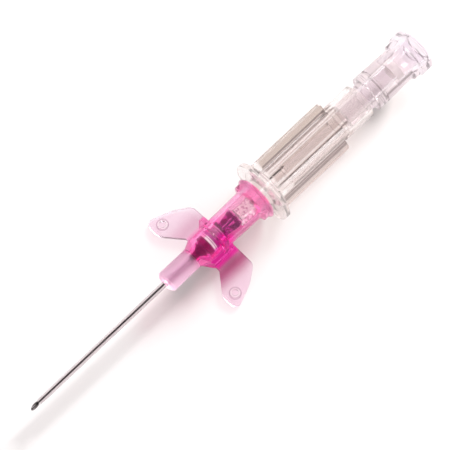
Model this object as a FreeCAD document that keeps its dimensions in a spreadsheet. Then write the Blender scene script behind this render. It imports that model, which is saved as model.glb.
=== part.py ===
import FreeCAD, Part

import os
from types import SimpleNamespace

import Sketcher

# Winged safety cannula for a vein, 20 gauge, closed: the needle is still in the catheter.
# Millimetres. Each sub-part is drawn about its own axis, with the needle's point at x = 0,
# the tail towards +X and +Z up. One placement then stands the set on the table, centred.

doc = FreeCAD.newDocument("iv_cannula")
sheet = doc.addObject("Spreadsheet::Sheet", "sheet")

sizes = {
    # needle
    "needle_radius": 0.40,
    "needle_wall": 0.08,
    "needle_length": 57.5,
    "bevel_length": 1.7,
    # catheter tube, and the metal eyelet that wedges it in the hub
    "tube_tip_place": 1.75,
    "tube_radius": 0.55,
    "tube_tip_radius": 0.47,
    "tube_taper_length": 2.4,
    "running_gap": 0.03,
    "seat_gap": 0.02,
    "cut_past": 1.0,
    "tube_seat_length": 7.2,
    "tube_flare_length": 0.5,
    "eyelet_wall": 0.12,
    "eyelet_neck_length": 1.6,
    "eyelet_mouth_radius": 1.7,
    "eyelet_mouth_length": 1.1,
    # catheter hub
    "hub_front_place": 30.4,
    "nose_radius": 1.89,
    "nose_length": 6.1,
    "nose_edge": 0.4,
    "nose_flare_length": 1.6,
    "barrel_radius": 2.62,
    "barrel_length": 11.6,
    "barrel_rear_radius": 2.80,
    "lug_flare_length": 1.2,
    "lug_radius": 3.92,
    "lug_length": 0.5,
    "lug_edge": 0.3,
    "thread_width": 0.8,
    "thread_radius": 3.55,
    "thread_root": 0.1,
    "thread_angle": 50,
    "valve_room_radius": 1.82,
    "luer_mouth_radius": 2.14,
    "luer_slope": 0.03,
    # upright push-off tab
    "tab_setback": 11.0,
    "tab_thickness": 0.85,
    "tab_half_width": 3.0,
    "tab_height": 4.1,
    "tab_round": 0.9,
    # keel under the hub
    "keel_setback": 6.2,
    "keel_point_length": 2.1,
    "keel_length": 7.1,
    "keel_corner": 0.9,
    "keel_half_width": 3.0,
    "keel_bottom": 3.3,
    "keel_top": 1.2,
    # wings
    "wing_thickness": 0.7,
    "wing_tip_bottom": 3.85,
    "wing_shoulder_setback": 8.4,
    "wing_shoulder_reach": 3.75,
    "wing_front_setback": 5.6,
    "wing_front_inset": 3.3,
    "wing_nib_setback": 5.8,
    "wing_nib_reach": 10.6,
    "wing_edge_setback": 10.35,
    "wing_edge_inset": 1.75,
    "wing_rear_setback": 13.1,
    "wing_rear_inset": 3.65,
    "wing_shoulder_round": 0.6,
    "wing_front_round": 2.5,
    "wing_nib_round": 1.0,
    "wing_edge_round": 5.0,
    "wing_rear_round": 1.4,
    "dimple_setback": 7.55,
    "dimple_inset": 2.3,
    "dimple_radius": 0.55,
    "dimple_depth": 0.3,
    "dimple_rim": 0.3,
    "dimple_rim_height": 0.15,
    # valve and safety clip inside the hub
    "septum_length": 2.2,
    "septum_thickness": 0.7,
    "septum_wall": 0.45,
    "pusher_length": 1.6,
    "pusher_rim_length": 0.4,
    "pusher_nose_radius": 0.9,
    "pusher_wall": 0.35,
    "clip_front_gap": 0.21,
    "clip_rear_gap": 0.35,
    "clip_length": 3.3,
    "clip_thickness": 0.18,
    "clip_half_width": 1.35,
    "clip_half_height": 1.1,
    "clip_jaw_height": 0.6,
    "clip_jaw_length": 0.5,
    # needle hub
    "insert_bore_radius": 1.3,
    "insert_bore_length": 3.2,
    "luer_gap": 0.04,
    "waist_radius": 2.6,
    "waist_length": 0.86,
    "plate_thickness": 0.8,
    "plate_radius": 5.7,
    "collar_radius": 4.0,
    "collar_length": 0.8,
    "core_radius": 2.85,
    "fin_length": 14.9,
    "fin_reach": 4.85,
    "fin_thickness": 0.9,
    "fin_corner": 0.3,
    "fin_root": 0.4,
    "chamber_radius": 3.18,
    "chamber_length": 6.2,
    "chamber_chamfer": 0.35,
    "grip_bore_radius": 1.6,
    "chamber_bore_radius": 2.35,
    "chamber_bore_length": 5.2,
    "needle_free_length": 0.7,
    # flash plug and its vent
    "plug_nose_length": 4.3,
    "plug_neck_radius": 2.45,
    "plug_neck_length": 1.4,
    "plug_ring_radius": 3.25,
    "plug_ring_length": 1.6,
    "plug_groove_length": 0.35,
    "plug_groove_depth": 0.3,
    "plug_body_radius": 3.23,
    "plug_body_length": 6.1,
    "plug_rear_radius": 3.12,
    "plug_flare_length": 1.4,
    "plug_flange_length": 2.3,
    "plug_bore_radius": 1.2,
    "socket_depth": 5.0,
    "vent_thickness": 1.4,
    # height of the axis over the table
    "axis_height": 3.92,
}

for row, (alias, value) in enumerate(sizes.items(), start=1):
    sheet.set(f"A{row}", alias)
    sheet.set(f"B{row}", str(value))
    sheet.setAlias(f"B{row}", alias)
doc.recompute()


class Size:
    """A length with the expression that ties it to the sheet."""

    def __init__(self, value, text):
        self.value = value
        self.text = text

    def __add__(self, other):
        return Size(self.value + other.value, f"({self.text} + {other.text})")

    def __sub__(self, other):
        return Size(self.value - other.value, f"({self.text} - {other.text})")

    def __mul__(self, other):
        factor = as_size(other)
        return Size(self.value * factor.value, f"({self.text} * {factor.text})")

    def __truediv__(self, other):
        divisor = as_size(other)
        return Size(self.value / divisor.value, f"({self.text} / {divisor.text})")

    def __neg__(self):
        return Size(-self.value, f"(-{self.text})")


def as_size(number):
    return number if isinstance(number, Size) else Size(number, str(number))


def from_sheet(alias):
    return Size(float(sizes[alias]), f"sheet.{alias}")


s = SimpleNamespace(**{alias: from_sheet(alias) for alias in sizes})
zero = Size(0.0, "0")

# Places along the axis, from the point to the tail.
nose_end = s.hub_front_place + s.nose_length
barrel_start = nose_end + s.nose_flare_length
barrel_end = barrel_start + s.barrel_length
lug_start = barrel_end + s.lug_flare_length
hub_end = lug_start + s.lug_length
keel_start = s.hub_front_place + s.keel_setback
wing_end = s.hub_front_place + s.wing_rear_setback
tube_end = s.hub_front_place + s.tube_seat_length
eyelet_start = tube_end - s.eyelet_neck_length
tube_flare_start = eyelet_start - s.tube_flare_length
valve_start = tube_end + s.eyelet_mouth_length
septum_start = valve_start + s.seat_gap
septum_end = septum_start + s.septum_length
pusher_start = septum_end + s.seat_gap
pusher_end = pusher_start + s.pusher_length
luer_start = pusher_end + s.seat_gap
clip_start = pusher_end + s.clip_front_gap
clip_end = clip_start + s.clip_length
insert_start = clip_end + s.clip_rear_gap
insert_bore_end = insert_start + s.insert_bore_length
waist_start = hub_end + s.luer_gap
plate_start = waist_start + s.waist_length
plate_end = plate_start + s.plate_thickness
collar_end = plate_end + s.collar_length
fin_end = collar_end + s.fin_length
chamber_end = fin_end + s.chamber_length
grip_bore_start = s.needle_length - s.needle_free_length
chamber_bore_start = chamber_end - s.chamber_bore_length
plug_start = chamber_end - s.plug_nose_length
plug_seat = chamber_end + s.seat_gap
ring_start = chamber_end + s.plug_neck_length
ring_end = ring_start + s.plug_ring_length
groove_end = ring_end + s.plug_groove_length
plug_barrel_end = ring_end + s.plug_body_length
flange_start = plug_barrel_end + s.plug_flare_length
tail = flange_start + s.plug_flange_length
socket_bottom = tail - s.socket_depth
vent_start = socket_bottom - s.vent_thickness

# Radii that follow from the pieces inside.
tube_bore = s.needle_radius + s.running_gap
eyelet_inner = tube_bore + s.running_gap
eyelet_outer = eyelet_inner + s.eyelet_wall
flare_inner = eyelet_outer + s.seat_gap
flare_outer = flare_inner + s.tube_radius - tube_bore
hub_tube_bore = s.tube_radius + s.seat_gap
hub_flare_bore = flare_outer + s.seat_gap
needle_seat = s.needle_radius + s.seat_gap
valve_radius = s.valve_room_radius - s.seat_gap


def taper(mouth, end, place):
    """Radius of a luer taper at a place, narrowing forward from the mouth at its end."""
    return mouth - s.luer_slope * (end - place)


def hub_luer(place):
    return taper(s.luer_mouth_radius, hub_end, place)


def chamber_bore(place):
    return taper(s.chamber_bore_radius, chamber_end, place)


def socket_bore(place):
    return taper(s.luer_mouth_radius, tail, place)


def across_all(reach):
    """Length of a cut through everything within this reach on both sides."""
    return (reach + s.cut_past) * 2


def make_body(name):
    body = doc.addObject("PartDesign::Body", name)
    body.Label = name
    body.setExpression("Placement.Base.x", (tail * -0.5).text)
    body.setExpression("Placement.Base.z", s.axis_height.text)
    return body


def origin_part(body, role):
    return next(item for item in body.Origin.OriginFeatures if item.Role == role)


def attached_sketch(body, name, role, offset, turn):
    sketch = body.newObject("Sketcher::SketchObject", name)
    sketch.AttachmentSupport = [(origin_part(body, role), "")]
    sketch.MapMode = "FlatFace"
    sketch.AttachmentOffset = FreeCAD.Placement(
        FreeCAD.Vector(0, 0, offset.value), FreeCAD.Rotation(FreeCAD.Vector(1, 0, 0), turn)
    )
    sketch.setExpression("AttachmentOffset.Base.z", offset.text)
    return sketch


def bind(sketch, constraint, size):
    number = sketch.addConstraint(constraint)
    sketch.setExpression(f"Constraints[{number}]", size.text)


def add_outline(sketch, points):
    """A closed outline with both places of each corner bound to the sheet."""
    first = len(sketch.Geometry)
    corners = [FreeCAD.Vector(across.value, up.value, 0) for across, up in points]
    count = len(points)
    for index in range(count):
        sketch.addGeometry(Part.LineSegment(corners[index], corners[(index + 1) % count]))
    for index in range(count):
        following = first + (index + 1) % count
        sketch.addConstraint(Sketcher.Constraint("Coincident", first + index, 2, following, 1))
    for index, (across, up) in enumerate(points):
        line = first + index
        bind(sketch, Sketcher.Constraint("DistanceX", -1, 1, line, 1, across.value), across)
        bind(sketch, Sketcher.Constraint("DistanceY", -1, 1, line, 1, up.value), up)


def outline(body, name, role, points, offset=zero, turn=0):
    sketch = attached_sketch(body, name, role, offset, turn)
    add_outline(sketch, points)
    return sketch


def circle(body, name, role, across, up, radius, offset=zero):
    sketch = attached_sketch(body, name, role, offset, 0)
    centre = FreeCAD.Vector(across.value, up.value, 0)
    sketch.addGeometry(Part.Circle(centre, FreeCAD.Vector(0, 0, 1), radius.value))
    bind(sketch, Sketcher.Constraint("DistanceX", -1, 1, 0, 3, across.value), across)
    bind(sketch, Sketcher.Constraint("DistanceY", -1, 1, 0, 3, up.value), up)
    bind(sketch, Sketcher.Constraint("Radius", 0, radius.value), radius)
    return sketch


def revolve(body, name, points, kind="Revolution", role="XZ_Plane", angle=None):
    """Turns an outline of (place along the axis, radius) corners about the axis."""
    sketch = outline(body, name + "_outline", role, points)
    feature = body.newObject("PartDesign::" + kind, name)
    feature.Profile = sketch
    feature.ReferenceAxis = (sketch, ["H_Axis"])
    feature.Angle = 360
    if angle:
        feature.Midplane = True
        feature.setExpression("Angle", angle.text)
    doc.recompute()
    return feature


def extrude(body, name, sketch, length, kind="Pad", both_ways=False, backward=False):
    feature = body.newObject("PartDesign::" + kind, name)
    feature.Profile = sketch
    feature.setExpression("Length", length.text)
    feature.Midplane = both_ways
    feature.Reversed = backward
    doc.recompute()
    return feature


def around(body, name, feature, count):
    """Repeats a feature evenly about the axis."""
    pattern = body.newObject("PartDesign::PolarPattern", name)
    pattern.Originals = [feature]
    pattern.Axis = (origin_part(body, "X_Axis"), [""])
    pattern.Angle = 360
    pattern.Occurrences = count
    body.Tip = pattern
    doc.recompute()
    return pattern


def ring_edges(feature, rings):
    """Names of the circular edges at the given (place, radius) pairs."""
    names = []
    for number, edge in enumerate(feature.Shape.Edges, start=1):
        if not isinstance(edge.Curve, Part.Circle):
            continue
        for place, radius in rings:
            near_place = abs(edge.Curve.Center.x - place.value) < 0.01
            near_radius = abs(edge.Curve.Radius - radius.value) < 0.01
            if near_place and near_radius:
                names.append(f"Edge{number}")
    return names


def straight_edges(feature, direction, points):
    """Names of the straight edges along a direction that pass the given points."""
    names = []
    for number, edge in enumerate(feature.Shape.Edges, start=1):
        if not isinstance(edge.Curve, Part.Line):
            continue
        if abs(edge.Curve.Direction.dot(direction)) < 0.999:
            continue
        start = edge.Vertexes[0].Point
        for point in points:
            across = (point - start) - direction * (point - start).dot(direction)
            if across.Length < 0.01:
                names.append(f"Edge{number}")
    return names


def dress(body, name, feature, edges, size, kind="Fillet"):
    dressed = body.newObject("PartDesign::" + kind, name)
    dressed.Base = (feature, edges)
    dressed.setExpression("Radius" if kind == "Fillet" else "Size", size.text)
    doc.recompute()
    return dressed


def along_x(y, z):
    return FreeCAD.Vector(0, y.value, z.value)


def along_z(x, y):
    return FreeCAD.Vector(x.value, y.value, 0)


def make_needle():
    body = make_body("needle")
    inside = s.needle_radius - s.needle_wall
    tube = [
        (zero, inside),
        (s.needle_length, inside),
        (s.needle_length, s.needle_radius),
        (zero, s.needle_radius),
    ]
    revolve(body, "needle_tube", tube)
    # The bevel's plane runs from the point, at the bottom, up to the heel, and on past both.
    slope = s.bevel_length / (s.needle_radius * 2)
    before = -(slope * s.cut_past)
    wedge = [
        (before, -(s.needle_radius + s.cut_past)),
        (s.bevel_length + slope * s.cut_past, s.needle_radius + s.cut_past),
        (before, s.needle_radius + s.cut_past),
    ]
    sketch = outline(body, "bevel_outline", "XZ_Plane", wedge)
    extrude(body, "bevel", sketch, across_all(s.needle_radius), "Pocket", both_ways=True)


def make_catheter_tube():
    body = make_body("catheter_tube")
    taper_end = s.tube_tip_place + s.tube_taper_length
    profile = [
        (s.tube_tip_place, tube_bore),
        (tube_flare_start, tube_bore),
        (eyelet_start, flare_inner),
        (tube_end, flare_inner),
        (tube_end, flare_outer),
        (eyelet_start, flare_outer),
        (tube_flare_start, s.tube_radius),
        (taper_end, s.tube_radius),
        (s.tube_tip_place, s.tube_tip_radius),
    ]
    revolve(body, "tube_wall", profile)


def make_tube_eyelet():
    body = make_body("tube_eyelet")
    profile = [
        (eyelet_start, eyelet_inner),
        (tube_end, eyelet_inner),
        (valve_start, s.eyelet_mouth_radius - s.eyelet_wall),
        (valve_start, s.eyelet_mouth_radius),
        (tube_end, eyelet_outer),
        (eyelet_start, eyelet_outer),
    ]
    revolve(body, "eyelet_funnel", profile)


def wing_outline():
    """Corners of the wings' outline seen from above, right side first, then the left."""
    side = [
        (s.hub_front_place + s.wing_shoulder_setback, s.wing_shoulder_reach),
        (s.hub_front_place + s.wing_front_setback, s.wing_nib_reach - s.wing_front_inset),
        (s.hub_front_place + s.wing_nib_setback, s.wing_nib_reach),
        (s.hub_front_place + s.wing_edge_setback, s.wing_nib_reach - s.wing_edge_inset),
        (wing_end, s.wing_nib_reach - s.wing_rear_inset),
    ]
    return side, [(along, -across) for along, across in reversed(side)]


def make_catheter_hub():
    body = make_body("catheter_hub")
    add_wings(body)
    add_keel(body)
    add_tab(body)
    add_barrel(body)
    bore = [
        (s.hub_front_place - s.cut_past, zero),
        (s.hub_front_place - s.cut_past, hub_tube_bore),
        (tube_flare_start, hub_tube_bore),
        (eyelet_start, hub_flare_bore),
        (tube_end, hub_flare_bore),
        (valve_start, s.valve_room_radius),
        (luer_start, s.valve_room_radius),
        (luer_start, hub_luer(luer_start)),
        (hub_end, s.luer_mouth_radius),
        (hub_end + s.cut_past, s.luer_mouth_radius),
        (hub_end + s.cut_past, zero),
    ]
    revolve(body, "hub_bore", bore, "Groove")


def add_wings(body):
    # A shallow roof across the hub, cut to the outline of both wings.
    drop = s.wing_tip_bottom - s.wing_thickness
    roof = [
        (-s.wing_nib_reach, -s.wing_tip_bottom),
        (-s.keel_half_width, -s.keel_bottom),
        (s.keel_half_width, -s.keel_bottom),
        (s.wing_nib_reach, -s.wing_tip_bottom),
        (s.wing_nib_reach, -drop),
        (s.keel_half_width, s.wing_thickness - s.keel_bottom),
        (-s.keel_half_width, s.wing_thickness - s.keel_bottom),
        (-s.wing_nib_reach, -drop),
    ]
    roof_start = s.hub_front_place + s.wing_front_setback - s.wing_nib_round
    sketch = outline(body, "wing_section", "YZ_Plane", roof, roof_start)
    extrude(body, "wing_roof", sketch, wing_end - roof_start)

    near, far = wing_outline()
    frame_start = roof_start - s.cut_past
    frame_end = wing_end + s.cut_past
    frame_reach = s.wing_nib_reach + s.cut_past
    frame = [
        (frame_start, frame_reach),
        (frame_end, frame_reach),
        (frame_end, -frame_reach),
        (frame_start, -frame_reach),
    ]
    sketch = outline(body, "wing_trim_outline", "XY_Plane", frame)
    add_outline(sketch, near + far)
    trim = extrude(body, "wing_trim", sketch, across_all(s.wing_tip_bottom), "Pocket", both_ways=True)

    rounds = (
        s.wing_shoulder_round,
        s.wing_front_round,
        s.wing_nib_round,
        s.wing_edge_round,
        s.wing_rear_round,
    )
    upward = FreeCAD.Vector(0, 0, 1)
    rounded = trim
    for number, (corner, radius) in enumerate(zip(near, rounds), start=1):
        pair = [along_z(corner[0], corner[1] * side) for side in (1, -1)]
        edges = straight_edges(rounded, upward, pair)
        rounded = dress(body, f"wing_round_{number}", rounded, edges, radius)

    # Each dimple is a blind round hollow with a raised rim, on the wing's upper face.
    dimple_place = s.hub_front_place + s.dimple_setback
    dimple_reach = s.wing_nib_reach - s.dimple_inset
    fall = (s.wing_tip_bottom - s.keel_bottom) / (s.wing_nib_reach - s.keel_half_width)
    wing_top = s.wing_thickness - s.keel_bottom - fall * (dimple_reach - s.keel_half_width)
    rim_top = wing_top + s.dimple_rim_height
    floor_height = wing_top - s.dimple_depth
    for number, side in enumerate((1, -1), start=1):
        across = dimple_reach * side
        rim = circle(
            body,
            f"dimple_rim_outline_{number}",
            "XY_Plane",
            dimple_place,
            across,
            s.dimple_radius + s.dimple_rim,
            floor_height,
        )
        extrude(body, f"dimple_rim_{number}", rim, rim_top - floor_height)
        hollow = circle(
            body,
            f"dimple_outline_{number}",
            "XY_Plane",
            dimple_place,
            across,
            s.dimple_radius,
            floor_height,
        )
        extrude(body, f"dimple_{number}", hollow, s.cut_past, "Pocket", backward=True)


def add_keel(body):
    keel_end = keel_start + s.keel_length
    side = [
        (keel_start + s.keel_point_length, s.keel_half_width),
        (keel_end - s.keel_corner, s.keel_half_width),
        (keel_end, s.keel_half_width - s.keel_corner),
    ]
    mirrored = [(along, -across) for along, across in reversed(side)]
    points = [(keel_start, zero)] + side + mirrored
    sketch = outline(body, "keel_outline", "XY_Plane", points, -s.keel_bottom)
    extrude(body, "keel", sketch, s.keel_bottom - s.keel_top)


def add_barrel(body):
    # The barrel is turned solid, and the bore comes last, clear through all that is fused here.
    profile = [
        (s.hub_front_place, zero),
        (s.hub_front_place, s.nose_radius),
        (nose_end, s.nose_radius),
        (barrel_start, s.barrel_radius),
        (barrel_end, s.barrel_rear_radius),
        (lug_start, s.lug_radius),
        (hub_end, s.lug_radius),
        (hub_end, zero),
    ]
    barrel = revolve(body, "barrel", profile)
    edges = ring_edges(barrel, [(s.hub_front_place, s.nose_radius)])
    nose = dress(body, "nose_edge", barrel, edges, s.nose_edge, "Chamfer")
    edges = ring_edges(nose, [(hub_end, s.lug_radius)])
    dress(body, "lug_edges", nose, edges, s.lug_edge, "Chamfer")
    add_thread_starts(body, barrel_end, s.barrel_rear_radius)


def add_thread_starts(body, place, base_radius):
    """Two short thread starts, one on each side, in front of a luer flange."""
    section = [
        (place - s.thread_width * 0.5, base_radius - s.thread_root),
        (place + s.thread_width, base_radius - s.thread_root),
        (place + s.thread_width, s.thread_radius),
        (place, s.thread_radius),
    ]
    start = revolve(body, "thread_start", section, role="XY_Plane", angle=s.thread_angle)
    around(body, "thread_starts", start, 2)


def add_tab(body):
    # The tab stands on the keel, on both sides of the barrel.
    points = [
        (-s.tab_half_width, -s.keel_top),
        (s.tab_half_width, -s.keel_top),
        (s.tab_half_width, s.tab_height),
        (-s.tab_half_width, s.tab_height),
    ]
    tab_start = s.hub_front_place + s.tab_setback - s.tab_thickness * 0.5
    sketch = outline(body, "tab_outline", "YZ_Plane", points, tab_start)
    tab = extrude(body, "tab", sketch, s.tab_thickness)
    tops = [along_x(s.tab_half_width * side, s.tab_height) for side in (1, -1)]
    edges = straight_edges(tab, FreeCAD.Vector(1, 0, 0), tops)
    dress(body, "tab_rounding", tab, edges, s.tab_round)


def make_valve_septum():
    body = make_body("valve_septum")
    cup = valve_radius - s.septum_wall
    membrane = septum_end - s.septum_thickness
    profile = [
        (septum_start, cup),
        (membrane, cup),
        (membrane, tube_bore),
        (septum_end, tube_bore),
        (septum_end, valve_radius),
        (septum_start, valve_radius),
    ]
    revolve(body, "septum", profile)


def make_valve_pusher():
    body = make_body("valve_pusher")
    rim_start = pusher_end - s.pusher_rim_length
    profile = [
        (pusher_start, s.pusher_nose_radius - s.pusher_wall),
        (pusher_start + s.pusher_wall, s.pusher_nose_radius - s.pusher_wall),
        (rim_start + s.pusher_wall, valve_radius - s.pusher_wall),
        (pusher_end, valve_radius - s.pusher_wall),
        (pusher_end, valve_radius),
        (rim_start, valve_radius),
        (pusher_start, s.pusher_nose_radius),
    ]
    revolve(body, "pusher", profile)


def make_safety_clip():
    """Spring clip of one steel strip: a wall with a hole, and two arms that cross."""
    body = make_body("safety_clip")
    wall_start = clip_end - s.clip_thickness
    wall = [
        (-s.clip_half_width, -s.clip_half_height),
        (s.clip_half_width, -s.clip_half_height),
        (s.clip_half_width, s.clip_half_height),
        (-s.clip_half_width, s.clip_half_height),
    ]
    sketch = outline(body, "clip_wall_outline", "YZ_Plane", wall, wall_start)
    extrude(body, "clip_wall", sketch, s.clip_thickness)
    hole = circle(body, "clip_hole_outline", "YZ_Plane", zero, zero, tube_bore, wall_start)
    extrude(body, "clip_hole", hole, across_all(s.clip_thickness), "Pocket", both_ways=True)

    # One arm passes beside the needle from the top of the wall to below it, and ends in a
    # jaw as wide as the wall. The other is the same, half a turn about the needle away.
    knee = clip_start + s.clip_jaw_length
    arm_section = [
        (clip_end, s.clip_half_height),
        (clip_end, s.clip_half_height - s.clip_thickness),
        (knee, -s.clip_half_height),
        (knee - s.clip_thickness, -s.clip_half_height),
        (knee - s.clip_thickness, s.clip_thickness - s.clip_half_height),
        (wall_start, s.clip_half_height),
    ]
    arm_width = s.clip_half_width - tube_bore
    sketch = outline(body, "clip_arm_outline", "XZ_Plane", arm_section, -s.clip_half_width)
    arm = extrude(body, "clip_arm", sketch, arm_width)
    jaw_section = [
        (knee, -s.clip_half_height),
        (clip_start, -s.clip_half_height),
        (clip_start, s.clip_jaw_height - s.clip_half_height),
        (clip_start + s.clip_thickness, s.clip_jaw_height - s.clip_half_height),
        (clip_start + s.clip_thickness, s.clip_thickness - s.clip_half_height),
        (knee, s.clip_thickness - s.clip_half_height),
    ]
    sketch = outline(body, "clip_jaw_outline", "XZ_Plane", jaw_section)
    jaw = extrude(body, "clip_jaw", sketch, s.clip_half_width * 2, both_ways=True)
    pattern = around(body, "clip_arms", arm, 2)
    pattern.Originals = [arm, jaw]
    doc.recompute()


def make_needle_hub():
    body = make_body("needle_hub")
    profile = [
        (insert_start, zero),
        (insert_start, hub_luer(insert_start) - s.luer_gap),
        (waist_start, s.luer_mouth_radius - s.luer_gap),
        (waist_start, s.waist_radius),
        (plate_start, s.waist_radius),
        (plate_start, s.plate_radius),
        (plate_end, s.plate_radius),
        (plate_end, s.collar_radius),
        (collar_end, s.collar_radius),
        (collar_end, s.core_radius),
        (fin_end, s.core_radius),
        (fin_end, s.chamber_radius),
        (chamber_end, s.chamber_radius),
        (chamber_end, zero),
    ]
    turned = revolve(body, "needle_hub_turned", profile)
    edges = ring_edges(turned, [(chamber_end, s.chamber_radius)])
    dress(body, "chamber_edge", turned, edges, s.chamber_chamfer, "Chamfer")

    inner = s.core_radius - s.fin_root
    fin = [
        (collar_end - s.fin_root, inner),
        (fin_end, inner),
        (fin_end, s.fin_reach - s.fin_corner),
        (fin_end - s.fin_corner, s.fin_reach),
        (collar_end - s.fin_root, s.fin_reach),
    ]
    sketch = outline(body, "fin_outline", "XZ_Plane", fin, turn=45)
    first_fin = extrude(body, "fin", sketch, s.fin_thickness, both_ways=True)
    around(body, "fins", first_fin, 4)

    # The foot is cut flat where the plate and collar meet the table, so that it can't roll.
    foot_bottom = s.plate_radius + s.cut_past
    foot = [
        (-s.plate_radius, -s.axis_height),
        (s.plate_radius, -s.axis_height),
        (s.plate_radius, -foot_bottom),
        (-s.plate_radius, -foot_bottom),
    ]
    foot_start = plate_start - s.cut_past
    sketch = outline(body, "foot_outline", "YZ_Plane", foot, foot_start)
    extrude(body, "foot_flat", sketch, collar_end + s.cut_past - foot_start, "Pocket", backward=True)

    bore = [
        (insert_start - s.cut_past, zero),
        (insert_start - s.cut_past, s.insert_bore_radius),
        (insert_bore_end, s.insert_bore_radius),
        (insert_bore_end, needle_seat),
        (grip_bore_start, needle_seat),
        (grip_bore_start, s.grip_bore_radius),
        (chamber_bore_start, s.grip_bore_radius),
        (chamber_bore_start, chamber_bore(chamber_bore_start)),
        (chamber_end, s.chamber_bore_radius),
        (chamber_end + s.cut_past, s.chamber_bore_radius),
        (chamber_end + s.cut_past, zero),
    ]
    revolve(body, "needle_hub_bore", bore, "Groove")


def make_flash_plug():
    body = make_body("flash_plug")
    groove_radius = s.plug_ring_radius - s.plug_groove_depth
    profile = [
        (plug_start, zero),
        (plug_start, chamber_bore(plug_start) - s.luer_gap),
        (chamber_end, s.chamber_bore_radius - s.luer_gap),
        (plug_seat, s.chamber_bore_radius - s.luer_gap),
        (plug_seat, s.plug_neck_radius),
        (ring_start, s.plug_neck_radius),
        (ring_start, s.plug_ring_radius),
        (ring_end, s.plug_ring_radius),
        (ring_end, groove_radius),
        (groove_end, groove_radius),
        (groove_end, s.plug_body_radius),
        (plug_barrel_end, s.plug_rear_radius),
        (flange_start, s.lug_radius),
        (tail, s.lug_radius),
        (tail, zero),
    ]
    turned = revolve(body, "plug_turned", profile)
    edges = ring_edges(turned, [(tail, s.lug_radius)])
    dress(body, "flange_edges", turned, edges, s.lug_edge, "Chamfer")
    add_thread_starts(body, plug_barrel_end, s.plug_rear_radius)
    bore = [
        (plug_start - s.cut_past, zero),
        (plug_start - s.cut_past, s.plug_bore_radius),
        (vent_start, s.plug_bore_radius),
        (vent_start, socket_bore(vent_start)),
        (tail, s.luer_mouth_radius),
        (tail + s.cut_past, s.luer_mouth_radius),
        (tail + s.cut_past, zero),
    ]
    revolve(body, "plug_bore", bore, "Groove")


def make_vent_filter():
    body = make_body("vent_filter")
    rim = socket_bore(vent_start) - s.seat_gap
    sketch = circle(body, "vent_outline", "YZ_Plane", zero, zero, rim, vent_start + s.seat_gap)
    extrude(body, "vent_disc", sketch, s.vent_thickness)


make_needle()
make_catheter_tube()
make_tube_eyelet()
make_catheter_hub()
make_valve_septum()
make_valve_pusher()
make_safety_clip()
make_needle_hub()
make_flash_plug()
make_vent_filter()
doc.recompute()

failed = [item.Name for item in doc.Objects if {"Invalid", "Error"} & set(item.State)]
if failed:
    raise RuntimeError(f"these features failed: {failed}")

bodies = [item for item in doc.Objects if item.isDerivedFrom("PartDesign::Body")]
for body in bodies:
    if body.Shape.isNull() or not body.Shape.isValid() or len(body.Shape.Solids) != 1:
        raise RuntimeError(f"{body.Label} isn't one good solid")

os.makedirs("parts", exist_ok=True)
for body in bodies:
    body.Shape.exportStep(f"parts/{body.Label}.step")
    print(body.Label, "volume", round(body.Shape.Volume, 3), "mm3")
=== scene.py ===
import math

import bpy
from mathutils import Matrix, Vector


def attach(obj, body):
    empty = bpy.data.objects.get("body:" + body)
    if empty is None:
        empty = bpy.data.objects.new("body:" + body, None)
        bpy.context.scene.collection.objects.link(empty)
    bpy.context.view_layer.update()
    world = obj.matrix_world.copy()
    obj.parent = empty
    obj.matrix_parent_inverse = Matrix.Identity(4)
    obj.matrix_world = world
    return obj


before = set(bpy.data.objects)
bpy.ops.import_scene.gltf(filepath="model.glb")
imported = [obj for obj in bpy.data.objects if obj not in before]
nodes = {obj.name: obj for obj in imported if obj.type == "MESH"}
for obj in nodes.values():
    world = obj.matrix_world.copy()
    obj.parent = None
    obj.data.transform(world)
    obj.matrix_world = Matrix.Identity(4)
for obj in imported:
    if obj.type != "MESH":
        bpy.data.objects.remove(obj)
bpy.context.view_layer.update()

mm = 0.001
halfLength = 43.9           # in millimetres, as are places along the part, from the needle's point
far = 100                   # past every face of the part, in millimetres
axisHeight = 3.92 * mm      # the needle's height over the table
black = (0, 0, 0, 1)
print("frame loaded")

# Camera, set from where the point and the tail lie in the photograph

camera = {
    "azimuth": -45,
    "elevation": 70,
    "distance": 2000 * mm,
    "pixelsPerMm": 6.2,
    "imageWidth": 450,
    "sensor": 36,
    "nearest": 10 * mm,
    "farthest": 10,
    "moveRight": 0.016 * mm,     # the aim, from the middle of the needle's line
    "moveUp": 0.411 * mm,
}


def makeCamera():
    turn = math.radians(camera["azimuth"])
    tilt = math.radians(camera["elevation"])
    back = Vector((math.sin(turn) * math.cos(tilt), -math.cos(turn) * math.cos(tilt),
                   math.sin(tilt)))
    right = Vector((math.cos(turn), math.sin(turn), 0))
    up = back.cross(right)
    aim = Vector((0, 0, axisHeight)) + right * camera["moveRight"] + up * camera["moveUp"]
    data = bpy.data.cameras.new("photoCamera")
    data.sensor_width = camera["sensor"]
    perMm = camera["imageWidth"] / camera["sensor"]
    data.lens = camera["pixelsPerMm"] * camera["distance"] / mm / perMm
    data.clip_start = camera["nearest"]
    data.clip_end = camera["farthest"]
    obj = bpy.data.objects.new("photoCamera", data)
    obj.location = aim + back * camera["distance"]
    obj.rotation_euler = (-back).to_track_quat("-Z", "Y").to_euler()
    bpy.context.scene.collection.objects.link(obj)
    bpy.context.scene.camera = obj


makeCamera()
print("camera placed")

# Table, light and surroundings

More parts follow.
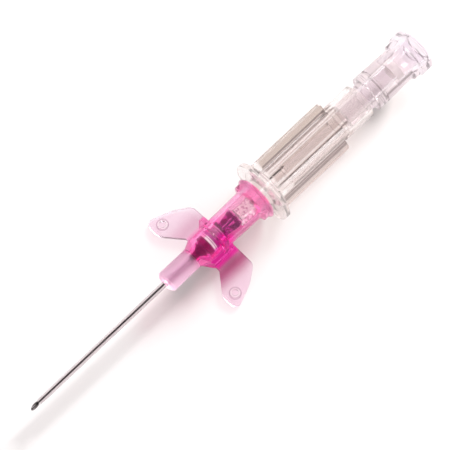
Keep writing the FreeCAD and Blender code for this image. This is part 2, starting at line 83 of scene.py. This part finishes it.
stage = {
    "floorSize": 3,
    "floorDrop": 0.02 * mm,
    "floorColor": (0.84, 0.832, 0.832, 1),
    "floorRoughness": 0.9,
    "floorGloss": 0.1,
    "key": {"place": (0.841, 0.206, 0.50), "size": 0.38, "power": 14.0, "color": (1, 0.99, 0.98)},
    "top": {"place": (0.45, 0.55, 0.85), "size": 0.22, "power": 1.2, "color": (1, 1, 1)},
    "beltColor": (1.0, 0.94, 0.943, 1),       # bright all round, dark overhead
    "zenithColor": (0.05, 0.043, 0.045, 1),
    "beltEnd": 0.55,
    "zenithStart": 0.80,
    "worldStrength": 1.24,
}


def makeLamp(name, lamp):
    data = bpy.data.lights.new(name, "AREA")
    data.shape = "DISK"
    data.size = lamp["size"]
    data.energy = lamp["power"]
    data.color = lamp["color"]
    obj = bpy.data.objects.new(name, data)
    obj.location = lamp["place"]
    obj.rotation_euler = (-Vector(lamp["place"])).to_track_quat("-Z", "Y").to_euler()
    bpy.context.scene.collection.objects.link(obj)


def makeFloor():
    bpy.ops.object.select_all(action="DESELECT")
    bpy.ops.mesh.primitive_plane_add(size=stage["floorSize"], location=(0, 0, -stage["floorDrop"]))
    floor = bpy.context.object
    floor.name = "floor"
    bpy.ops.object.transform_apply(location=True, rotation=True, scale=True)
    mat = bpy.data.materials.new("tablePaper")
    mat.use_nodes = True
    shader = mat.node_tree.nodes["Principled BSDF"]
    shader.inputs["Base Color"].default_value = stage["floorColor"]
    shader.inputs["Roughness"].default_value = stage["floorRoughness"]
    shader.inputs["Specular IOR Level"].default_value = stage["floorGloss"]
    floor.data.materials.append(mat)


def makeWorld():
    world = bpy.data.worlds.new("studio")
    world.use_nodes = True
    bpy.context.scene.world = world
    tree = world.node_tree
    back = tree.nodes["Background"]
    back.inputs["Strength"].default_value = stage["worldStrength"]
    coord = tree.nodes.new("ShaderNodeTexCoord")
    split = tree.nodes.new("ShaderNodeSeparateXYZ")
    ramp = tree.nodes.new("ShaderNodeValToRGB")
    belt, zenith = ramp.color_ramp.elements
    belt.position, belt.color = stage["beltEnd"], stage["beltColor"]
    zenith.position, zenith.color = stage["zenithStart"], stage["zenithColor"]
    tree.links.new(coord.outputs["Generated"], split.inputs["Vector"])
    tree.links.new(split.outputs["Z"], ramp.inputs["Fac"])
    tree.links.new(ramp.outputs["Color"], back.inputs["Color"])


makeFloor()
makeLamp("keySoftbox", stage["key"])
makeLamp("topSoftbox", stage["top"])
makeWorld()
bpy.context.scene.view_settings.view_transform = "Standard"
print("stage lit")

# Sums on masks, in a material or in a group


def addMath(tree, operation, *values):
    node = tree.nodes.new("ShaderNodeMath")
    node.operation = operation
    for socket, value in zip(node.inputs, values):
        if isinstance(value, (int, float)):
            socket.default_value = value
        else:
            tree.links.new(value, socket)
    return node.outputs[0]


def multiply(tree, product, *others):
    for other in others:
        product = addMath(tree, "MULTIPLY", product, other)
    return product


def addRange(tree, value, low, high):       # smooth step, falling where low is the larger
    node = tree.nodes.new("ShaderNodeMapRange")
    node.interpolation_type = "SMOOTHSTEP"
    node.inputs["From Min"].default_value = low
    node.inputs["From Max"].default_value = high
    tree.links.new(value, node.inputs["Value"])
    return node.outputs["Result"]


# Effects that the materials share

effects = {
    "grain": (0.25, 1, 1),          # the moulding's flow marks run along the part
    "grainDetail": 3,
    "grainDepth": 0.05 * mm,
    "edgeRadius": 0.15 * mm,
    "edgeGain": 3.0,
    "edgeSamples": 4,
    "speckDetail": 2,
    "patchSoft": 0.07,
    "patchHeights": (4.0, 4.2),     # patches lie on the upper side only
}


def newGroup(name, inputs, outputs):
    group = bpy.data.node_groups.new(name, "ShaderNodeTree")
    for label, value in inputs.items():
        socket = group.interface.new_socket(label, in_out="INPUT", socket_type="NodeSocketFloat")
        socket.default_value = value
    for label, kind in outputs.items():
        group.interface.new_socket(label, in_out="OUTPUT", socket_type=kind)
    return group, group.nodes.new("NodeGroupInput"), group.nodes.new("NodeGroupOutput")


def makeFinishGroup():
    inputs = {"Scale": 900.0, "Roughness": 0.06, "Variation": 0.05, "Ripple": 0.05}
    outputs = {
        "Roughness": "NodeSocketFloat",
        "Normal": "NodeSocketVector",
        "Cloud": "NodeSocketFloat",
    }
    group, start, end = newGroup("mouldedFinish", inputs, outputs)
    link = group.links.new
    coord = group.nodes.new("ShaderNodeTexCoord")
    stretch = group.nodes.new("ShaderNodeMapping")
    stretch.inputs["Scale"].default_value = effects["grain"]
    flow = group.nodes.new("ShaderNodeTexNoise")
    flow.inputs["Detail"].default_value = effects["grainDetail"]
    link(coord.outputs["Object"], stretch.inputs["Vector"])
    link(stretch.outputs["Vector"], flow.inputs["Vector"])
    link(start.outputs["Scale"], flow.inputs["Scale"])
    cloud = flow.outputs["Fac"]
    rough = addMath(group, "MULTIPLY_ADD", cloud, start.outputs["Variation"],
                    start.outputs["Roughness"])
    bump = group.nodes.new("ShaderNodeBump")
    bump.inputs["Distance"].default_value = effects["grainDepth"]
    link(start.outputs["Ripple"], bump.inputs["Strength"])
    link(cloud, bump.inputs["Height"])
    link(rough, end.inputs["Roughness"])
    link(bump.outputs["Normal"], end.inputs["Normal"])
    link(cloud, end.inputs["Cloud"])
    return group


def makeBandGroup():
    inputs = {"Place": 0.0, "Low": 0.0, "High": 1.0, "Soft": 0.1}
    group, start, end = newGroup("axisBand", inputs, {"Mask": "NodeSocketFloat"})
    place = start.outputs["Place"]
    above = addMath(group, "SUBTRACT", place, start.outputs["Low"])
    below = addMath(group, "SUBTRACT", start.outputs["High"], place)
    sides = []
    for gap in (above, below):
        share = addMath(group, "DIVIDE", gap, start.outputs["Soft"])
        sides.append(addRange(group, share, -1, 1))
    group.links.new(multiply(group, *sides), end.inputs["Mask"])
    return group


def makeEdgeGroup():
    inputs = {"Radius": effects["edgeRadius"], "Gain": effects["edgeGain"]}
    group, start, end = newGroup("edgeMask", inputs, {"Mask": "NodeSocketFloat"})
    bevel = group.nodes.new("ShaderNodeBevel")
    bevel.samples = effects["edgeSamples"]
    face = group.nodes.new("ShaderNodeNewGeometry")
    match = group.nodes.new("ShaderNodeVectorMath")
    match.operation = "DOT_PRODUCT"
    group.links.new(start.outputs["Radius"], bevel.inputs["Radius"])
    group.links.new(bevel.outputs["Normal"], match.inputs[0])
    group.links.new(face.outputs["Normal"], match.inputs[1])
    turned = addMath(group, "SUBTRACT", 1, match.outputs["Value"])
    mask = multiply(group, turned, start.outputs["Gain"])
    mask.node.use_clamp = True
    group.links.new(mask, end.inputs["Mask"])
    return group


finishGroup = makeFinishGroup()
bandGroup = makeBandGroup()
edgeGroup = makeEdgeGroup()


def newMaterial(name):
    mat = bpy.data.materials.new(name)
    mat.use_nodes = True
    return mat, mat.node_tree, mat.node_tree.nodes["Principled BSDF"]


def addGroup(tree, group):
    node = tree.nodes.new("ShaderNodeGroup")
    node.node_tree = group
    return node


def addFinish(tree, shader, values):
    finish = addGroup(tree, finishGroup)
    for label, value in values.items():
        finish.inputs[label].default_value = value
    tree.links.new(finish.outputs["Roughness"], shader.inputs["Roughness"])
    tree.links.new(finish.outputs["Normal"], shader.inputs["Normal"])
    return finish.outputs["Cloud"]


def roughen(tree, shader, amount):      # comes after addFinish
    socket = shader.inputs["Roughness"]
    rough = socket.links[0].from_socket
    tree.links.new(addMath(tree, "ADD", rough, amount), socket)


def addEdge(tree, share):
    return multiply(tree, addGroup(tree, edgeGroup).outputs["Mask"], share)


def addPlaces(tree):
    coord = tree.nodes.new("ShaderNodeTexCoord")
    split = tree.nodes.new("ShaderNodeSeparateXYZ")
    tree.links.new(coord.outputs["Object"], split.inputs["Vector"])
    places = {"x": split.outputs["X"], "y": split.outputs["Y"], "z": split.outputs["Z"]}
    places["side"] = addMath(tree, "ABSOLUTE", places["y"])
    return places


def addRise(tree, value, edges):        # from 0 to 1 between two distances in millimetres
    return addRange(tree, value, edges[0] * mm, edges[1] * mm)


def addBand(tree, place, low, high, soft):
    band = addGroup(tree, bandGroup)
    tree.links.new(place, band.inputs["Place"])
    band.inputs["Low"].default_value = low * mm
    band.inputs["High"].default_value = high * mm
    band.inputs["Soft"].default_value = soft * mm
    return band.outputs["Mask"]


def addLength(tree, places, low, high, soft):       # between two places along the part
    return addBand(tree, places["x"], low - halfLength, high - halfLength, soft)


def addPatch(tree, places, edges):
    lowX, highX, lowY, highY = edges
    along = addLength(tree, places, lowX, highX, effects["patchSoft"])
    across = addBand(tree, places["y"], lowY, highY, effects["patchSoft"])
    return multiply(tree, along, across, addRise(tree, places["z"], effects["patchHeights"]))


def addSpecks(tree, specks):
    scale, low, high = specks
    coord = tree.nodes.new("ShaderNodeTexCoord")
    noise = tree.nodes.new("ShaderNodeTexNoise")
    noise.inputs["Scale"].default_value = scale
    noise.inputs["Detail"].default_value = effects["speckDetail"]
    tree.links.new(coord.outputs["Object"], noise.inputs["Vector"])
    return addRange(tree, noise.outputs["Fac"], low, high)


def addFromAxis(tree):
    coord = tree.nodes.new("ShaderNodeTexCoord")
    flat = tree.nodes.new("ShaderNodeMapping")
    flat.inputs["Location"].default_value = (0, 0, -axisHeight)
    flat.inputs["Scale"].default_value = (0, 1, 1)
    away = tree.nodes.new("ShaderNodeVectorMath")
    away.operation = "LENGTH"
    tree.links.new(coord.outputs["Object"], flat.inputs["Vector"])
    tree.links.new(flat.outputs["Vector"], away.inputs[0])
    return away.outputs["Value"]


def mixColor(tree, mask, under, over):
    node = tree.nodes.new("ShaderNodeMix")
    node.data_type = "RGBA"
    tree.links.new(mask, node.inputs[0])
    for socket, value in ((node.inputs[6], under), (node.inputs[7], over)):
        if isinstance(value, tuple):
            socket.default_value = value
        else:
            tree.links.new(value, socket)
    return node.outputs[2]


def paint(tree, color, layers):
    for mask, tone in layers:
        color = mixColor(tree, mask, color, tone)
    return color


def addGlow(tree, shader, mask, color, strength):
    tree.links.new(mixColor(tree, mask, black, color), shader.inputs["Emission Color"])
    shader.inputs["Emission Strength"].default_value = strength


def letLampsThrough(tree, shader, color):
    path = tree.nodes.new("ShaderNodeLightPath")
    surface = shader.outputs[0]
    for ray in ("Is Shadow Ray", "Is Diffuse Ray"):
        through = tree.nodes.new("ShaderNodeBsdfTransparent")
        if isinstance(color, tuple):
            through.inputs["Color"].default_value = color
        else:
            tree.links.new(color, through.inputs["Color"])
        mix = tree.nodes.new("ShaderNodeMixShader")
        tree.links.new(path.outputs[ray], mix.inputs[0])
        tree.links.new(surface, mix.inputs[1])
        tree.links.new(through.outputs[0], mix.inputs[2])
        surface = mix.outputs[0]
    tree.links.new(surface, tree.nodes["Material Output"].inputs["Surface"])


def dress(node, mat):
    obj = nodes[node]
    obj.data.materials.clear()
    obj.data.materials.append(mat)
    for face in obj.data.polygons:
        face.material_index = 0


print("shared effects ready")

# Pink moulded hub: thick parts are deep, thin parts pale

pink = {
    "clear": 0.93,
    "ior": 1.40,
    "finish": {"Scale": 700, "Roughness": 0.03, "Variation": 0.06, "Ripple": 0.12},
    "cloudShare": 0.12,
    "gloss": (1.0, 0.30, 0.65, 1),
    "sideSoft": 0.6,
    "leftShare": 0.4,           # the left flank is painted paler than the right; the deeper right flank is painted shade
    "barrel": (0.98, 0.50, 0.74, 1),
    # painted light: paler on the upper side over the film
    "litPatch": (1.0, 0.76, 0.89, 1),
    "litPatchLength": (46.2, 49.3, 0.3),
    "litPatchWidth": (-1.9, 1.4, 0.3),
    "litPatchHeights": (4.0, 5.0),
    # painted shade: deeper pink along the right flank of the barrel
    "shadedFlank": (0.95, 0.33, 0.62, 1),
    "shadedFlankWidth": (-3.4, -2.1, 0.3),
    "nose": (0.87, 0.65, 0.80, 1),
    "noseEnd": 36.3,
    "noseSoft": 0.7,
    "noseFrost": 0.45,
    "flange": (0.96, 0.33, 0.62, 1),
    "flangeStart": 49.6,
    "flangeSoft": 0.4,
    "flangeFrost": 0.2,
    "wing": (1.0, 0.92, 0.99, 1),
    # painted shade: the right wing a little darker than the left
    "shadedRightWing": (1.0, 0.89, 0.97, 1),
    "wingStart": 3.5,
    "wingSoft": 0.4,
    # deeper where the wing root thickens, and painted shade under the hub
    "rootDepthAndShade": (0.60, 0.19, 0.36, 1),
    "rootSides": (3.3, 6.0, 1.5),
    "keel": (1.0, 0.075, 0.57, 1),
    "keelLength": (36.6, 43.7, 0.6),
    "keelSides": (0.9, 3.6, 0.5),
    "keelGlow": (0.35, 0.004, 0.14, 1),     # painted glow, standing in for light scattered in the thick keel
    "glowStrength": 0.30,
    "glowHeights": (5.2, 3.6),
    # white, for painted highlights
    "highlight": (1.0, 1.0, 1.0, 1),
    "glints": (45.6, 48.8, -2.4, -1.15),    # painted glints of the film; patches: from x, to x, from y, to y
    "glintSpecks": (1500, 0.46, 0.52),
    "valveHighlight": (39.6, 40.35, -1.9, 0.5),
    "cup": (36.4, 39.45, -2.6, 0.9),
    "cupTone": (1.0, 0.12, 0.50, 1),
    "clip": (42.9, 45.9, -1.9, 0.8),
    "clipTone": (0.95, 0.28, 0.68, 1),
    "dimple": (37.95, 8.3),
    # painted highlight ring round the dimple, and a painted shade line at its edge
    "dimpleHighlight": (0.55, 0.88, 0.06),
    "highlightRingTone": (1.0, 0.97, 0.99, 1),
    "dimpleShadeLine": (0.88, 1.02, 0.05),
    "shadeLineTone": (0.34, 0.17, 0.28, 1),
    "lineShare": 0.65,
    # painted highlights on the wings' edges, painted shade on their rear edges
    "rim": (1.0, 0.93, 0.97, 1),
    "rearEdgeShade": (0.25, 0.10, 0.20, 1),
    "rearRimStart": 40.6,
    "rearRimSoft": 0.3,
    "rimShare": 0.5,
    "shadow": (0.89, 0.77, 0.80, 1),
    "wingShadow": (0.95, 0.88, 0.91, 1),
    "shadowSides": (3.1, 3.9),
}


def addFromDimple(tree, places):
    x, side = pink["dimple"]
    flat = tree.nodes.new("ShaderNodeCombineXYZ")
    tree.links.new(addMath(tree, "ADD", places["x"], (halfLength - x) * mm), flat.inputs["X"])
    tree.links.new(addMath(tree, "ADD", places["side"], -side * mm), flat.inputs["Y"])
    away = tree.nodes.new("ShaderNodeVectorMath")
    away.operation = "LENGTH"
    tree.links.new(flat.outputs[0], away.inputs[0])
    return away.outputs["Value"]


def pinkPlastic():
    mat, tree, shader = newMaterial("pinkPlastic")
    cloud = addFinish(tree, shader, pink["finish"])
    places = addPlaces(tree)
    side = places["side"]
    right = addBand(tree, places["y"], -far, 0, pink["sideSoft"])
    # painted shade: the right flank is painted deeper than the left
    paintedSideShade = multiply(tree, right, 1 - pink["leftShare"])
    paintedSideShade = addMath(tree, "ADD", paintedSideShade, pink["leftShare"])
    litPatch = multiply(tree, addLength(tree, places, *pink["litPatchLength"]),
                      addBand(tree, places["y"], *pink["litPatchWidth"]),
                      addRise(tree, places["z"], pink["litPatchHeights"]))
    glints = multiply(tree, addPatch(tree, places, pink["glints"]),
                      addSpecks(tree, pink["glintSpecks"]))
    nose = addLength(tree, places, 0, pink["noseEnd"], pink["noseSoft"])
    flange = addLength(tree, places, pink["flangeStart"], far, pink["flangeSoft"])
    wing = addBand(tree, side, pink["wingStart"], far, pink["wingSoft"])
    keel = multiply(tree, addLength(tree, places, *pink["keelLength"]),
                    addBand(tree, side, *pink["keelSides"]), paintedSideShade)
    away = addFromDimple(tree, places)
    line = multiply(tree, addBand(tree, away, *pink["dimpleShadeLine"]), pink["lineShare"])
    rear = addLength(tree, places, pink["rearRimStart"], far, pink["rearRimSoft"])
    rear = multiply(tree, wing, rear)
    color = paint(tree, pink["barrel"], (
        (litPatch, pink["litPatch"]),
        (addBand(tree, places["y"], *pink["shadedFlankWidth"]), pink["shadedFlank"]),
        (glints, pink["highlight"]),
        (nose, pink["nose"]),
        (flange, pink["flange"]),
        (wing, mixColor(tree, right, pink["wing"], pink["shadedRightWing"])),
        (multiply(tree, addBand(tree, side, *pink["rootSides"]), paintedSideShade), pink["rootDepthAndShade"]),
        (keel, pink["keel"]),
        (addPatch(tree, places, pink["valveHighlight"]), pink["highlight"]),       # painted highlight: a bright line over the valve
        (addPatch(tree, places, pink["cup"]), pink["cupTone"]),
        (addPatch(tree, places, pink["clip"]), pink["clipTone"]),
        (addBand(tree, away, *pink["dimpleHighlight"]), pink["highlightRingTone"]),
        (line, pink["shadeLineTone"]),
        (multiply(tree, cloud, pink["cloudShare"]), pink["keel"]),
        (addEdge(tree, pink["rimShare"]), mixColor(tree, rear, pink["rim"], pink["rearEdgeShade"])),
    ))
    tree.links.new(color, shader.inputs["Base Color"])
    low = addRise(tree, places["z"], pink["glowHeights"])
    addGlow(tree, shader, multiply(tree, keel, low), pink["keelGlow"], pink["glowStrength"])
    roughen(tree, shader, addMath(tree, "ADD", multiply(tree, nose, pink["noseFrost"]),
                                  multiply(tree, flange, pink["flangeFrost"])))
    shader.inputs["Specular Tint"].default_value = pink["gloss"]
    shader.inputs["Transmission Weight"].default_value = pink["clear"]
    shader.inputs["IOR"].default_value = pink["ior"]
    thin = addRise(tree, side, pink["shadowSides"])
    letLampsThrough(tree, shader, mixColor(tree, thin, pink["shadow"], pink["wingShadow"]))
    return mat


dress("catheter_hub", pinkPlastic())
print("pink hub finished")

# Clear needle hub and plug

clear = {
    "clear": 0.90,
    "cloud": (0.62, 0.53, 0.48, 1),
    "cloudShare": 0.2,
    # painted shade along the edges
    "edge": (0.42, 0.34, 0.33, 1),
    "shadow": (0.94, 0.92, 0.915, 1),
    # tone for painted shade on the plug's sides
    "side": (0.62, 0.55, 0.59, 1),
    # painted shade over the plug's socket
    "coreShade": (0.66, 0.58, 0.62, 1),
    # tones for painted shade lines and painted highlight lines
    "dark": (0.10, 0.075, 0.08, 1),
    "light": (1.0, 0.99, 0.99, 1),
}

grip = {
    "color": (0.97, 0.945, 0.94, 1),
    "finish": {"Scale": 500, "Roughness": 0.03, "Variation": 0.06, "Ripple": 0.15},
    "edgeShare": 0.4,
    "ior": 1.45,
    "length": (54.7, 70.2, 0.2),        # the finned part
    # painted shade: the left fin darker, the right fin lighter
    "shadedLeftFin": (0.62, 0.53, 0.48, 1),
    "litRightFin": (0.82, 0.75, 0.73, 1),
    "sideSoft": 0.6,
    # painted shade on the core's upper side
    "finRadii": (3.0, 3.4),
    "coreShade": (0.60, 0.50, 0.48, 1),
    "coreRadii": (2.2, 2.4),
    "coreHeights": (3.7, 3.9),
    "darkLines": ((2.12, 2.38), (1.38, 1.60), (-1.84, -1.66)),      # painted shade lines, from y, to y
    # painted highlight lines
    "lightLines": ((1.78, 2.04), (0.98, 1.24), (0.45, 0.66), (-1.52, -1.22), (-2.95, -2.0)),
    # a painted shade line low on the fin
    "lowLine": (-2.78, -2.42),
    "lowHeights": (2.6, 2.4),
    "lineSoft": 0.08,
    "lineShare": 0.9,
    "dash": (54.0, 57.3, -0.12, 0.22),      # painted shade where the needle shows through the core; from x, to x, from y, to y
    "dashSpecks": (1600, 0.30, 0.38),
    "dashTone": (0.02, 0.015, 0.015, 1),
    "glints": (45.7, 48.8, -2.4, -1.10),    # painted glints: bright crumbs of light beside the film, made to glow
    "glintSpecks": (2300, 0.48, 0.54),
    "glintGlow": (0.88, 0.80, 0.81, 1),
    "glowStrength": 0.42,
}

plug = {
    "color": (0.90, 0.84, 0.885, 1),
    "finish": {"Scale": 400, "Roughness": 0.03, "Variation": 0.06, "Ripple": 0.10},
    "edgeShare": 0.75,
    "ior": 1.38,
    "flange": (0.885, 0.83, 0.885, 1),
    "flangeStart": 84.9,
    "flangeSoft": 0.4,
    "outerRadii": (2.7, 2.9),
    "lineShare": 0.8,
    "lines": (                  # painted shade and painted highlight lines and patches; from x, to x, from y, to y, tone
        (78.4, 81.9, -0.60, 0.75, "coreShade"),
        (78.0, 84.0, 1.25, 3.40, "side"),
        (78.0, 84.0, -3.40, -2.60, "side"),
        (77.9, 83.7, 1.05, 1.22, "dark"),
        (77.9, 83.7, 0.83, 1.03, "light"),
        (77.9, 83.5, -2.45, -2.25, "light"),
        (77.9, 84.0, -2.95, -2.70, "dark"),
        (77.7, 77.9, -3.20, 1.20, "dark"),
        (85.3, 85.5, -3.20, -0.90, "dark"),
        (86.45, 86.6, -3.20, -0.90, "dark"),
        (87.05, 87.20, -3.90, 3.90, "side"),
    ),
}


def clearPlastic(name, piece):
    mat, tree, shader = newMaterial(name)
    cloud = addFinish(tree, shader, piece["finish"])
    color = paint(tree, piece["color"], (
        (multiply(tree, cloud, clear["cloudShare"]), clear["cloud"]),
        (addEdge(tree, piece["edgeShare"]), clear["edge"]),
    ))
    shader.inputs["Transmission Weight"].default_value = clear["clear"]
    shader.inputs["IOR"].default_value = piece["ior"]
    letLampsThrough(tree, shader, clear["shadow"])
    return mat, tree, shader, color


def gripPlastic():
    mat, tree, shader, color = clearPlastic("clearHubPlastic", grip)
    places = addPlaces(tree)
    away = addFromAxis(tree)
    length = addLength(tree, places, *grip["length"])
    right = addBand(tree, places["y"], -far, 0, grip["sideSoft"])
    fin = multiply(tree, length, addRise(tree, away, grip["finRadii"]))
    outside = addRise(tree, away, grip["coreRadii"])
    top = multiply(tree, outside, addRise(tree, places["z"], grip["coreHeights"]), length)
    layers = [
        (top, grip["coreShade"]),
        (fin, mixColor(tree, right, grip["shadedLeftFin"], grip["litRightFin"])),
    ]
    for tone in ("dark", "light"):
        for low, high in grip[tone + "Lines"]:
            line = addBand(tree, places["y"], low, high, grip["lineSoft"])
            layers.append((multiply(tree, line, top, grip["lineShare"]), clear[tone]))
    line = addBand(tree, places["y"], *grip["lowLine"], grip["lineSoft"])
    below = addRise(tree, places["z"], grip["lowHeights"])
    layers.append((multiply(tree, line, fin, below, grip["lineShare"]), clear["dark"]))
    dash = multiply(tree, addPatch(tree, places, grip["dash"]), outside,
                    addSpecks(tree, grip["dashSpecks"]))
    layers.append((dash, grip["dashTone"]))
    tree.links.new(paint(tree, color, layers), shader.inputs["Base Color"])
    glints = multiply(tree, addPatch(tree, places, grip["glints"]),
                      addSpecks(tree, grip["glintSpecks"]))
    addGlow(tree, shader, glints, grip["glintGlow"], grip["glowStrength"])
    return mat


def plugPlastic():
    mat, tree, shader, color = clearPlastic("clearPlugPlastic", plug)
    places = addPlaces(tree)
    outside = addRise(tree, addFromAxis(tree), plug["outerRadii"])
    flange = addLength(tree, places, plug["flangeStart"], far, plug["flangeSoft"])
    layers = [(flange, plug["flange"])]
    for *edges, tone in plug["lines"]:
        patch = multiply(tree, addPatch(tree, places, edges), outside, plug["lineShare"])
        layers.append((patch, clear[tone]))
    tree.links.new(paint(tree, color, layers), shader.inputs["Base Color"])
    return mat


dress("needle_hub", gripPlastic())
dress("flash_plug", plugPlastic())
print("clear hub and plug finished")

# Crumpled film sleeve round the needle, inside the needle hub's insert

film = {
    "front": 46.55,
    "rear": 49.45,
    "radius": 1.06,
    "sides": 7,
    "cuts": 4,
    "crumple": 0.17,
    "seed": 7,
    "wall": 0.04,
    "finish": {"Scale": 2500, "Roughness": 0.12, "Variation": 0.15, "Ripple": 0.6},
    "color": (1.0, 0.99, 1.0, 1),
    # painted shade in the film's folds
    "foldShade": (0.45, 0.06, 0.28, 1),
    "foldShadeSpecks": (2600, 0.54, 0.60),
    "glowStrength": 0.22,       # painted glow, for light that the film gathers from all sides
}


def crumpledFilm():
    mat, tree, shader = newMaterial("crumpledFilm")
    addFinish(tree, shader, film["finish"])
    color = mixColor(tree, addSpecks(tree, film["foldShadeSpecks"]), film["color"], film["foldShade"])
    tree.links.new(color, shader.inputs["Base Color"])
    shader.inputs["Emission Color"].default_value = film["color"]
    shader.inputs["Emission Strength"].default_value = film["glowStrength"]
    letLampsThrough(tree, shader, pink["shadow"])
    return mat


def makeFilm():
    bpy.ops.object.select_all(action="DESELECT")
    middle = (film["front"] + film["rear"]) / 2 - halfLength
    bpy.ops.mesh.primitive_cylinder_add(
        vertices=film["sides"],
        radius=film["radius"] * mm,
        depth=(film["rear"] - film["front"]) * mm,
        end_fill_type="NOTHING",
        location=(middle * mm, 0, axisHeight),
        rotation=(0, math.radians(90), 0),
    )
    sleeve = bpy.context.object
    sleeve.name = "filmSleeve"
    bpy.ops.object.transform_apply(location=True, rotation=True, scale=True)
    bpy.ops.object.mode_set(mode="EDIT")
    bpy.ops.mesh.select_all(action="SELECT")
    bpy.ops.mesh.subdivide(number_cuts=film["cuts"])
    bpy.ops.transform.vertex_random(offset=film["crumple"] * mm, seed=film["seed"])
    bpy.ops.mesh.quads_convert_to_tris()
    bpy.ops.object.mode_set(mode="OBJECT")
    wall = sleeve.modifiers.new("wall", "SOLIDIFY")
    wall.thickness = film["wall"] * mm
    bpy.ops.object.modifier_apply(modifier="wall")
    sleeve.data.materials.append(crumpledFilm())
    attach(sleeve, "needle_unit")


makeFilm()
print("film sleeve made")

# Catheter tube

tube = {
    "color": (0.92, 0.89, 0.90, 1),
    "clear": 1,
    "ior": 1.12,
    "finish": {"Scale": 1500, "Roughness": 0.06, "Variation": 0.08, "Ripple": 0.05},
    "shadow": (0.8, 0.76, 0.76, 1),
}


def tubePlastic():
    mat, tree, shader = newMaterial("tubePlastic")
    shader.inputs["Base Color"].default_value = tube["color"]
    shader.inputs["Transmission Weight"].default_value = tube["clear"]
    shader.inputs["IOR"].default_value = tube["ior"]
    addFinish(tree, shader, tube["finish"])
    letLampsThrough(tree, shader, tube["shadow"])
    return mat


dress("catheter_tube", tubePlastic())

# Steel needle, eyelet and clip

needle = {
    "color": (0.85, 0.82, 0.82, 1),
    "finish": {"Scale": 3000, "Roughness": 0.05, "Variation": 0.10, "Ripple": 0.03},
    # painted shade: dark where the needle enters the clear hub
    "entryShade": (0.16, 0.06, 0.10, 1),
    "entryLength": (49.3, 50.3, 0.1),
    "paleBehindEntry": (0.96, 0.93, 0.93, 1),      # painted light: the needle is painted pale behind its entry, where the thick clear plastic washes it out
    "paleStart": 50.3,
    "paleSoft": 0.1,
    "paleRoughness": 0.4,
}

eyelet = {
    "color": (0.13, 0.05, 0.09, 1),
    "finish": {"Scale": 3000, "Roughness": 0.2, "Variation": 0.10, "Ripple": 0.1},
}

clip = {
    "color": (0.12, 0.02, 0.07, 1),
    "finish": {"Scale": 3000, "Roughness": 0.25, "Variation": 0.10, "Ripple": 0.1},
    "spot": (0.34, 0.10, 0.32, 1),
    "spotSpecks": (1500, 0.50, 0.62),
}

steelShade = 0.7        # how dark the drawing marks are


def steel(name, piece):
    mat, tree, shader = newMaterial(name)
    shader.inputs["Metallic"].default_value = 1
    cloud = addFinish(tree, shader, piece["finish"])
    dark = tuple(value * steelShade for value in piece["color"][:3]) + (1,)
    return mat, tree, shader, mixColor(tree, cloud, piece["color"], dark)


def needleSteel():
    mat, tree, shader, color = steel("needleSteel", needle)
    places = addPlaces(tree)
    paleBehind = addLength(tree, places, needle["paleStart"], far, needle["paleSoft"])
    color = paint(tree, color, (
        (addLength(tree, places, *needle["entryLength"]), needle["entryShade"]),
        (paleBehind, needle["paleBehindEntry"]),
    ))
    tree.links.new(color, shader.inputs["Base Color"])
    tree.links.new(addMath(tree, "SUBTRACT", 1, paleBehind), shader.inputs["Metallic"])
    roughen(tree, shader, multiply(tree, paleBehind, needle["paleRoughness"]))
    return mat


def eyeletSteel():
    mat, tree, shader, color = steel("eyeletSteel", eyelet)
    tree.links.new(color, shader.inputs["Base Color"])
    return mat


def clipSteel():
    mat, tree, shader, color = steel("clipSteel", clip)
    color = mixColor(tree, addSpecks(tree, clip["spotSpecks"]), color, clip["spot"])
    tree.links.new(color, shader.inputs["Base Color"])
    return mat


dress("needle", needleSteel())
dress("tube_eyelet", eyeletSteel())
dress("safety_clip", clipSteel())
print("tube and steel finished")

# Valve and vent

septum = {
    "color": (0.10, 0.008, 0.04, 1),
    "finish": {"Scale": 1200, "Roughness": 0.20, "Variation": 0.15, "Ripple": 0.3},
    "cloudShare": 0.2,
    "rear": (0.36, 0.12, 0.36, 1),
    "rearStart": 40.1,
    "rearSoft": 0.15,
    # painted highlight lines
    "line": (1.0, 0.97, 0.98, 1),
    "lines": ((39.75, 40.1), (40.22, 40.38)),       # from x, to x
    "lineSoft": 0.05,
}

pusher = {
    "color": (0.80, 0.55, 0.80, 1),
    "finish": {"Scale": 1200, "Roughness": 0.15, "Variation": 0.1, "Ripple": 0.2},
    "clear": 0.3,
    "line": (1.0, 0.97, 0.98, 1),
    "lines": (                  # painted highlights; from x, to x, from y, to y
        (41.25, 41.45, 0.2, 1.1),
        (41.95, 42.15, -0.5, 0.4),
    ),
}

vent = {
    "color": (0.86, 0.82, 0.82, 1),
    "finish": {"Scale": 4000, "Roughness": 0.75, "Variation": 0.2, "Ripple": 0.6},
}


def septumRubber():
    mat, tree, shader = newMaterial("septumRubber")
    cloud = addFinish(tree, shader, septum["finish"])
    places = addPlaces(tree)
    rear = addLength(tree, places, septum["rearStart"], far, septum["rearSoft"])
    layers = [(rear, septum["rear"])]
    for low, high in septum["lines"]:
        layers.append((addLength(tree, places, low, high, septum["lineSoft"]), septum["line"]))
    layers.append((multiply(tree, cloud, septum["cloudShare"]), septum["rear"]))
    tree.links.new(paint(tree, septum["color"], layers), shader.inputs["Base Color"])
    letLampsThrough(tree, shader, pink["shadow"])
    return mat


def pusherPlastic():
    mat, tree, shader = newMaterial("pusherPlastic")
    addFinish(tree, shader, pusher["finish"])
    places = addPlaces(tree)
    layers = [(addPatch(tree, places, edges), pusher["line"]) for edges in pusher["lines"]]
    tree.links.new(paint(tree, pusher["color"], layers), shader.inputs["Base Color"])
    shader.inputs["Transmission Weight"].default_value = pusher["clear"]
    letLampsThrough(tree, shader, pink["shadow"])
    return mat


def ventFibre():
    mat, tree, shader = newMaterial("ventFibre")
    shader.inputs["Base Color"].default_value = vent["color"]
    addFinish(tree, shader, vent["finish"])
    return mat


dress("valve_septum", septumRubber())
dress("valve_pusher", pusherPlastic())
dress("vent_filter", ventFibre())
print("valve and vent finished")
